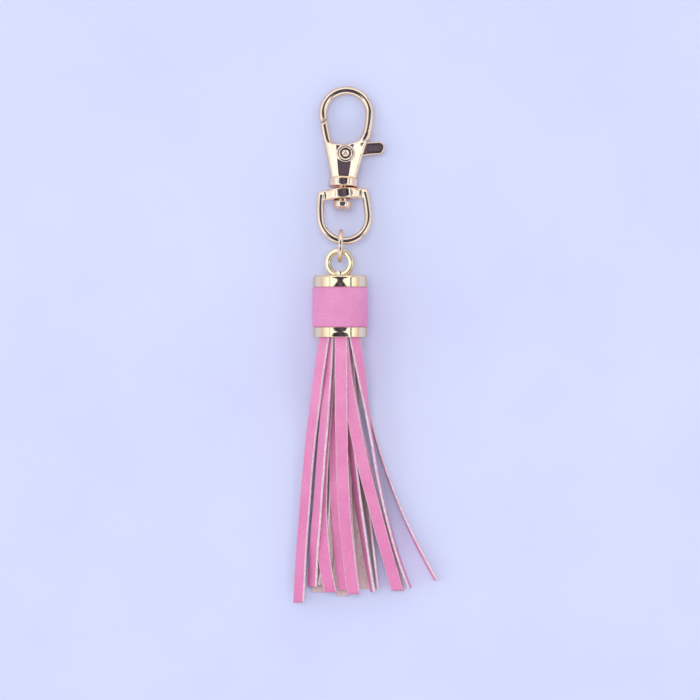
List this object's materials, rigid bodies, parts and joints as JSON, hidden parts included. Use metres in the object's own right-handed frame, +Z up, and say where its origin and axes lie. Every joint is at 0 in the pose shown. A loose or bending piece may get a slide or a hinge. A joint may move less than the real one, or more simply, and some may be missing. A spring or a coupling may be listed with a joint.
{
  "type": "tassel keychain",
  "caption": "Leather tassel in a capped metal collar, hung by a jump ring from a swivel trigger clasp with a sprung gate.",
  "frame": {"origin": "on the plane it lies on, under the middle of its outline", "axes": "+Y along the tassel and clasp, out of the clasp's crown; +Z up from the plane it lies on; +X to the right seen from above with the clasp away from the viewer"},
  "size_m": [0.0365, 0.1289, 0.014],
  "materials": {
    "rose_gold_plate": "mirror-polished pale rose-gold plating",
    "steel_sleeve": "plain rolled steel",
    "spring_steel": "bright drawn wire",
    "band_leather": "fine-grained pink leather, satin",
    "strip_leather": "pink leather, satin face, pale cut edges and a greige fibrous back",
    "glue": "dried contact glue"
  },
  "bodies": {
    "hook": {"hook_body": "rose_gold_plate", "gate_rivet": "rose_gold_plate", "gate_spring": "spring_steel", "swivel_post": "rose_gold_plate"},
    "gate": {"gate_lever": "rose_gold_plate"},
    "bail": {"swivel_bail": "rose_gold_plate"},
    "ring": {"jump_ring": "rose_gold_plate"},
    "tassel_cap": {"cap_loop": "rose_gold_plate", "top_cap": "rose_gold_plate", "inner_sleeve": "steel_sleeve", "leather_band": "band_leather", "bottom_ring": "rose_gold_plate", "fringe_header": "strip_leather", "glue_plug": "glue"},
    "fringe": {"strip_under_1": "strip_leather", "strip_under_2": "strip_leather", "strip_under_3": "strip_leather", "strip_under_4": "strip_leather", "strip_stray": "strip_leather", "strip_under_5": "strip_leather", "strip_under_6": "strip_leather", "strip_under_7": "strip_leather", "strip_back_1": "strip_leather", "strip_core": "strip_leather", "strip_side_1": "strip_leather", "strip_shade_1": "strip_leather", "strip_shade_2": "strip_leather", "strip_mid_1": "strip_leather", "strip_mid_2": "strip_leather", "strip_left_2": "strip_leather", "strip_right_2": "strip_leather", "strip_right_1": "strip_leather", "strip_left_1": "strip_leather", "strip_front": "strip_leather"}
  },
  "joints": [
    {"name": "gate_open", "type": "hinge", "parent": "hook", "child": "gate", "pos_m": [-0.00498, 0.04756, 0.00297], "axis": [0, -0.1167, -0.9932], "range_deg": [0, 25], "stiffness_Nm_per_rad": 0.005, "springref_deg": -11.46, "deforming": ["gate_spring"]},
    {"name": "swivel_turn", "type": "hinge", "parent": "hook", "child": "bail", "pos_m": [-0.0055, 0.04045, 0.0038], "axis": [0.0384, 0.9924, -0.1166], "continuous": true},
    {"name": "ring_swing", "type": "hinge", "parent": "bail", "child": "ring", "pos_m": [-0.00481, 0.02607, 0.00555], "axis": [0.9978, 0.0658, -0.0081], "range_deg": [-100, 100]},
    {"name": "tassel_swing", "type": "hinge", "parent": "ring", "child": "tassel_cap", "pos_m": [-0.00625, 0.02113, 0.0062], "axis": [0, 0, 1], "range_deg": [-60, 60]},
    {"name": "fringe_sway", "type": "hinge", "parent": "tassel_cap", "child": "fringe", "pos_m": [-0.0063, 0.0019, 0.007], "axis": [0, 0, 1], "range_deg": [-6, 6]}
  ]
}
